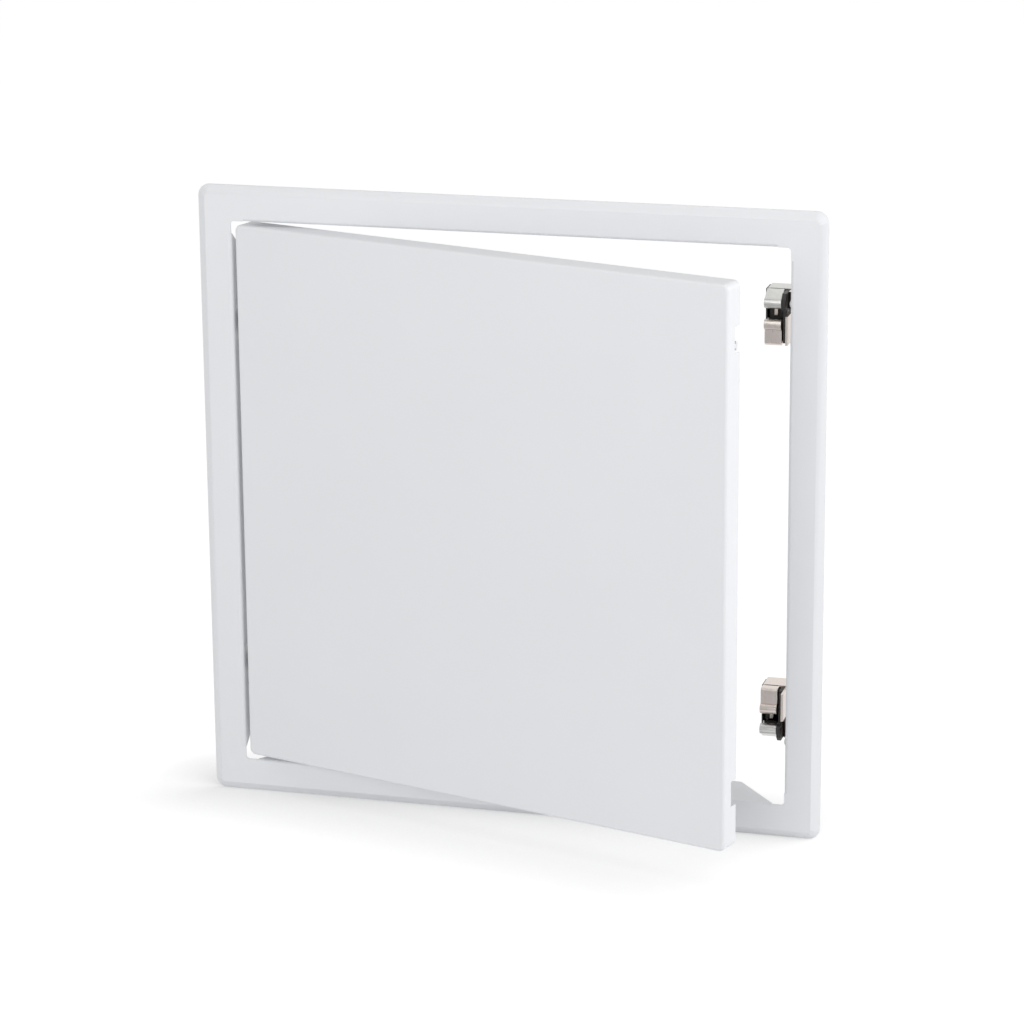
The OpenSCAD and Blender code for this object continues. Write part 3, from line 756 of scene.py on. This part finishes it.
class CoilTree(GrowthTree):
    """A wire coil whose end turns lie flat, standing along +Y."""

    TURN_STEPS = 40
    WIRE_SIDES = 12
    EASED_SHARE = 0.6
    EVEN_SHARE = 0.4

    def __init__(self) -> None:
        """Builds the tree."""
        sizes = {name: FLOAT for name in ("Radius", "Wire Radius", "Length", "Turns")}
        super().__init__("coil", {**sizes, "Foot": VECTOR, "Material": "NodeSocketMaterial"})
        bench, source = self.bench, self.source
        radius = source["Radius"]
        sweep = {"Resolution": self.TURN_STEPS, "Rotations": source["Turns"], "Start Radius": radius,
                 "End Radius": radius, "Height": source["Length"]}
        spiral = bench.add("GeometryNodeCurveSpiral", sweep)
        spot = self.spot()
        share = bench.maths("DIVIDE", spot["Z"], source["Length"])
        eased = bench.add("ShaderNodeMapRange", {"Value": share}, interpolation_type="SMOOTHSTEP").outputs[0]
        part_eased = bench.maths("ADD", bench.maths("MULTIPLY", eased, self.EASED_SHARE),
                                 bench.maths("MULTIPLY", share, self.EVEN_SHARE))
        laid = bench.join(spot["X"], bench.maths("MULTIPLY", part_eased, source["Length"]), spot["Y"])
        seat = bench.add("ShaderNodeVectorMath", {0: laid, 1: source["Foot"]}, operation="ADD").outputs[0]
        moved = bench.add("GeometryNodeSetPosition", {"Geometry": spiral.outputs[0], "Position": seat})
        section = {"Resolution": self.WIRE_SIDES, "Radius": source["Wire Radius"]}
        ring = bench.add("GeometryNodeCurvePrimitiveCircle", section)
        inputs = {"Curve": moved.outputs[0], "Profile Curve": ring.outputs[0], "Fill Caps": True}
        self.close(bench.add("GeometryNodeCurveToMesh", inputs).outputs[0])


@dataclass
class PanelFrame:
    """The fixed frame: four folded members welded at their mitres and coated as one."""

    members: tuple[str, ...] = ("top_rail", "bottom_rail", "hinge_jamb", "latch_jamb")
    edge_round_mm: float = 0.3
    weld_reach_mm: float = 0.02

    def in_weld(self, face: bmesh.types.BMFace) -> bool:
        """Tells whether a face lies in a mitre, inside the weld."""
        reach = self.weld_reach_mm * MM
        return all(abs(abs(v.co.x) - abs(v.co.z)) < reach for v in face.verts)

    def build(self, finishes: Finishes) -> None:
        """Builds the welded frame.

        Args:
            finishes: The panel's finishes.
        """
        softener = Softener(round_mm=self.edge_round_mm, drop=self.in_weld)
        finished(softener.mesh(self.members), "welded_frame", finishes.coat, "frame", self.members)


@dataclass
class DoorPan:
    """The swinging door: one folded pan."""

    edge_round_mm: float = 0.3

    def build(self, finishes: Finishes) -> None:
        """Builds the pan.

        Args:
            finishes: The panel's finishes.
        """
        mesh = Softener(round_mm=self.edge_round_mm).mesh(["door_panel"])
        finished(mesh, "door_pan", finishes.coat, "door", ["door_panel"])


@dataclass
class Hinge:
    """One concealed hinge: bracket and knuckle on the frame, leaf and pin on the door."""

    place: Place
    edge_round_mm: float = 0.2

    def build(self, finishes: Finishes) -> None:
        """Builds the hinge.

        Args:
            finishes: The panel's finishes.
        """
        for word, body in (("hinge_bracket", "frame"), ("hinge_leaf", "door"), ("hinge_pin", "door")):
            node = f"{self.place.word}_{word}"
            mesh = Softener(round_mm=self.edge_round_mm).mesh([node])
            finished(mesh, f"{node}_plated", finishes.zinc, body, [node])


@dataclass
class TouchLatch:
    """One push-to-open latch: bracket, cover, housing, spring, carriage, jaws and the door's striker."""

    place: Place
    sheet_round_mm: float = 0.25
    jaw_round_mm: float = 0.35
    moulding_round_mm: float = 0.35
    spring_radius_mm: float = 3.2
    wire_radius_mm: float = 0.45
    spring_turns: float = 6.0
    travel_mm: float = 3.0

    def build(self, finishes: Finishes, coils: CoilTree) -> None:
        """Builds the latch.

        Args:
            finishes: The panel's finishes.
            coils: The tree that winds the spring.
        """
        carriage = f"{self.place.word}_carriage"
        self.piece("latch_bracket", "frame", finishes.nickel, self.sheet_round_mm)
        self.piece("latch_cover", "frame", finishes.zinc, self.sheet_round_mm)
        self.piece("latch_housing", "frame", finishes.moulding, self.moulding_round_mm)
        self.piece("latch_carriage", carriage, finishes.moulding, self.moulding_round_mm)
        self.piece("push_pad", carriage, finishes.nickel, self.sheet_round_mm)
        self.piece("jaw_pins", carriage, finishes.zinc, self.sheet_round_mm)
        self.piece("striker", "door", finishes.coat, self.sheet_round_mm)
        for jaw, finish in ((Jaw.OUTER, finishes.zinc), (Jaw.INNER, finishes.nickel)):
            word = f"{jaw.value}_jaw"
            self.piece(word, f"{self.place.word}_{word}", finish, self.jaw_round_mm)
        self.wind(finishes.wire, coils)

    def piece(self, word: str, body: str, finish: Finish, round_mm: float) -> None:
        """Builds one softened piece.

        Args:
            word: The node's name after the place.
            body: The body it rides on.
            finish: Its finish.
            round_mm: Rounding of its edges.
        """
        node = f"{self.place.word}_{word}"
        mesh = Softener(round_mm=round_mm).mesh([node])
        finished(mesh, f"{node}_finished", finish, body, [node])

    def wind(self, finish: Finish, coils: CoilTree) -> None:
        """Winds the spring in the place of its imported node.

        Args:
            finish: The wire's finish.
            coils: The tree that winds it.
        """
        node = f"{self.place.word}_latch_spring"
        low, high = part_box(node)
        wire = self.wire_radius_mm * MM
        middle = (low + high) / 2
        foot = Vector((middle.x, low.y + wire, middle.z))
        values = {"Radius": self.spring_radius_mm * MM, "Wire Radius": wire,
                  "Length": high.y - low.y - 2 * wire, "Turns": self.spring_turns, "Foot": foot,
                  "Material": finish.material()}
        mesh = coils.grow(bpy.data.meshes.new("coil_seed"), values)
        spring = finished(mesh, f"{node}_wound", finish, "frame", [node])
        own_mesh(spring)


@dataclass
class Fasteners:
    """Rivets that hold the hinge and latch brackets."""

    head_radius_mm: float = 3.0
    head_height_mm: float = 1.8
    core_radius_mm: float = 1.0
    tail_radius_mm: float = 2.6
    tail_height_mm: float = 1.0
    grip_mm: float = 1.2
    plate_mm: float = 1.6
    hinge_z_mm: tuple[float, ...] = (120.0, 132.0, -120.0, -132.0)
    hinge_seat_mm: tuple[float, float] = (-200.0, 24.0)
    latch_z_mm: tuple[float, ...] = (158.0, -158.0)
    latch_y_mm: tuple[float, ...] = (9.5, 22.0)
    latch_x_mm: float = 200.0

    def build(self, finishes: Finishes, studs: StudTree) -> None:
        """Builds both rows of rivets.

        Args:
            finishes: The panel's finishes.
            studs: The tree that sets them.
        """
        values = {"Head Radius": self.head_radius_mm * MM, "Head Height": self.head_height_mm * MM,
                  "Seat": self.plate_mm * MM, "Core Radius": self.core_radius_mm * MM,
                  "Tail Radius": self.tail_radius_mm * MM, "Tail Height": self.tail_height_mm * MM,
                  "Grip": self.grip_mm * MM, "Material": finishes.zinc.material()}
        x, y = self.hinge_seat_mm
        inwards = Vector((1.0, 0.0, 0.0))
        hinge = [(Vector((x, y, z)) * MM, inwards) for z in self.hinge_z_mm]
        latch = [(Vector((self.latch_x_mm, y, z)) * MM, -inwards)
                 for z in self.latch_z_mm for y in self.latch_y_mm]
        for node, places in (("hinge_rivets", hinge), ("latch_rivets", latch)):
            mesh = studs.grow(studs.seeds(places), values)
            finished(mesh, f"{node}_set", finishes.zinc, "frame", [node])


@dataclass(frozen=True)
class Lamp:
    """A round area lamp that faces the panel.

    Attributes:
        name: Its name.
        place: Where it hangs.
        size: Its width.
        watts: Its power.
    """

    name: str
    place: Triple
    size: float
    watts: float

    def hang(self) -> None:
        """Hangs the lamp."""
        light = bpy.data.lights.new(f"{self.name}_lamp", "AREA")
        light.shape = "DISK"
        light.size = self.size
        light.energy = self.watts
        stand = bpy.data.objects.new(f"{self.name}_lamp", light)
        bpy.context.scene.collection.objects.link(stand)
        stand.location = self.place
        stand.rotation_mode = "QUATERNION"
        stand.rotation_quaternion = (-Vector(self.place)).to_track_quat("-Z", "Y")


@dataclass
class Studio:
    """White floor, soft lamps and the camera."""

    floor_gap: float = 0.0001
    floor_half: float = 9.0
    camera_at: Triple = (0.6756, -2.4386, 0.7265)
    yaw_deg: float = 15.451
    pitch_deg: float = -16.029
    roll_deg: float = 0.483
    focal_px: float = 3738.0
    image_px: float = 1024.0
    sensor_mm: float = 36.0
    clip: tuple[float, float] = (0.05, 50.0)
    sky: float = 0.53
    floor_colour: Colour = (0.85, 0.85, 0.86)
    paper_share: float = 0.3
    floor_glow: float = 0.86
    # Painted contact shadow on the floor's seen glow: its depth, and the reach, falloff and lean of its
    # ambient occlusion.
    painted_shadow_depth: float = 0.75
    painted_shadow_reach: float = 0.09
    painted_shadow_falloff: float = 0.8
    painted_shadow_lean: Triple = (0.90, -0.26, 0.35)
    lamps: tuple[Lamp, ...] = (
        Lamp("front", (0.0, -3.0, 0.8), 2.0, 22.0),
        Lamp("front_left", (-2.0, -2.3, 0.8), 2.0, 8.0),
        Lamp("right", (3.0, -0.3, 0.5), 2.0, 26.0),
        Lamp("right_rear", (2.7, 1.2, 0.6), 2.0, 19.0),
        Lamp("above", (0.25, -0.35, 0.75), 0.5, 0.8),
    )

    def build(self) -> None:
        """Sets up the studio."""
        scene = bpy.context.scene
        scene.view_settings.view_transform = "Standard"
        self.light()
        self.lay_floor()
        self.stand_camera()

    def light(self) -> None:
        """Hangs the lamps and paints the sky, which is white where it is seen."""
        for lamp in self.lamps:
            lamp.hang()
        world = bpy.data.worlds.new("studio")
        world.use_nodes = True
        world.node_tree.nodes.clear()
        bench = NodeBench(world.node_tree)
        lit = bench.add("ShaderNodeBackground", {"Color": WHITE, "Strength": self.sky}).outputs[0]
        seen = bench.add("ShaderNodeBackground", {"Color": WHITE, "Strength": 1.0}).outputs[0]
        both = bench.add("ShaderNodeMixShader", {0: self.seen_share(bench), 1: lit, 2: seen})
        bench.add("ShaderNodeOutputWorld", {"Surface": both.outputs[0]})
        bpy.context.scene.world = world

    @staticmethod
    def seen_share(bench: NodeBench) -> bpy.types.NodeSocket:
        """Is 1 for rays from the camera, from a mirror or through glass.

        Args:
            bench: Bench of the material or world.

        Returns:
            The share as a socket.
        """
        rays = bench.add("ShaderNodeLightPath").outputs
        direct = bench.maths("MAXIMUM", rays["Is Camera Ray"], rays["Is Glossy Ray"])
        return bench.maths("MAXIMUM", direct, rays["Is Transmission Ray"])

    def lay_floor(self) -> None:
        """Lays the floor, which glows white where it is seen and keeps a share of the lamps' real shadows.

        Where the floor is seen, most of its paper's light gives way to a glow. A painted shadow dims the
        glow beside the panel's foot, and most on the side that looks away from the lamps on the right. It
        comes from ambient occlusion whose hemisphere leans toward those lamps.
        """
        half = self.floor_half
        z = CAD_BOX[0].z - self.floor_gap
        mesh = bpy.data.meshes.new("floor")
        corners = [(-half, -half, z), (half, -half, z), (half, half, z), (-half, half, z)]
        mesh.from_pydata(corners, [], [(0, 1, 2, 3)])
        floor = bpy.data.objects.new("floor", mesh)
        bpy.context.scene.collection.objects.link(floor)
        material = bpy.data.materials.new("floor_paper")
        material.use_nodes = True
        material.node_tree.nodes.clear()
        bench = NodeBench(material.node_tree)
        seen = self.seen_share(bench)
        grey = (*(self.paper_share * c for c in self.floor_colour), 1.0)
        colour = bench.blend(seen, (*self.floor_colour, 1.0), grey)
        paper = bench.add("ShaderNodeBsdfDiffuse", {"Color": colour})
        # Painted shadow: ambient occlusion, its hemisphere leaned toward the lamps on the right, dims the
        # seen glow beside the panel's foot.
        contact = {"Distance": self.painted_shadow_reach, "Normal": bench.join(*self.painted_shadow_lean)}
        clear = bench.add("ShaderNodeAmbientOcclusion", contact).outputs["AO"]
        painted_shadow_mask = bench.maths("POWER", bench.maths("SUBTRACT", 1.0, clear), self.painted_shadow_falloff)
        glow_with_painted_shadow = bench.ramp(painted_shadow_mask, self.floor_glow, self.floor_glow * (1.0 - self.painted_shadow_depth))
        glow = bench.add("ShaderNodeEmission", {"Strength": bench.maths("MULTIPLY", seen, glow_with_painted_shadow)})
        both = bench.add("ShaderNodeAddShader", {0: paper.outputs[0], 1: glow.outputs[0]})
        bench.add("ShaderNodeOutputMaterial", {"Surface": both.outputs[0]})
        mesh.materials.append(material)

    def stand_camera(self) -> None:
        """Stands the camera where the photograph was taken from."""
        data = bpy.data.cameras.new("camera")
        data.sensor_width = self.sensor_mm
        data.lens = self.focal_px / self.image_px * self.sensor_mm
        data.clip_start, data.clip_end = self.clip
        camera = bpy.data.objects.new("camera", data)
        bpy.context.scene.collection.objects.link(camera)
        turns = ((self.yaw_deg, "Z"), (self.pitch_deg, "X"), (self.roll_deg, "Y"), (UPRIGHT_DEG, "X"))
        look = Matrix.Identity(3)
        for degrees, axis in turns:
            look = look @ Matrix.Rotation(math.radians(degrees), 3, axis)
        camera.matrix_world = Matrix.Translation(Vector(self.camera_at)) @ look.to_4x4()
        bpy.context.scene.camera = camera


def main() -> None:
    """Builds the panel and its studio."""
    logging.basicConfig(level=logging.INFO, format="%(name)s: %(message)s")
    finishes = Finishes()
    PanelFrame().build(finishes)
    DoorPan().build(finishes)
    coils = CoilTree()
    for place in Place:
        Hinge(place).build(finishes)
        TouchLatch(place).build(finishes, coils)
    Fasteners().build(finishes, StudTree())
    Studio().build()


if __name__ == "__main__":
    main()
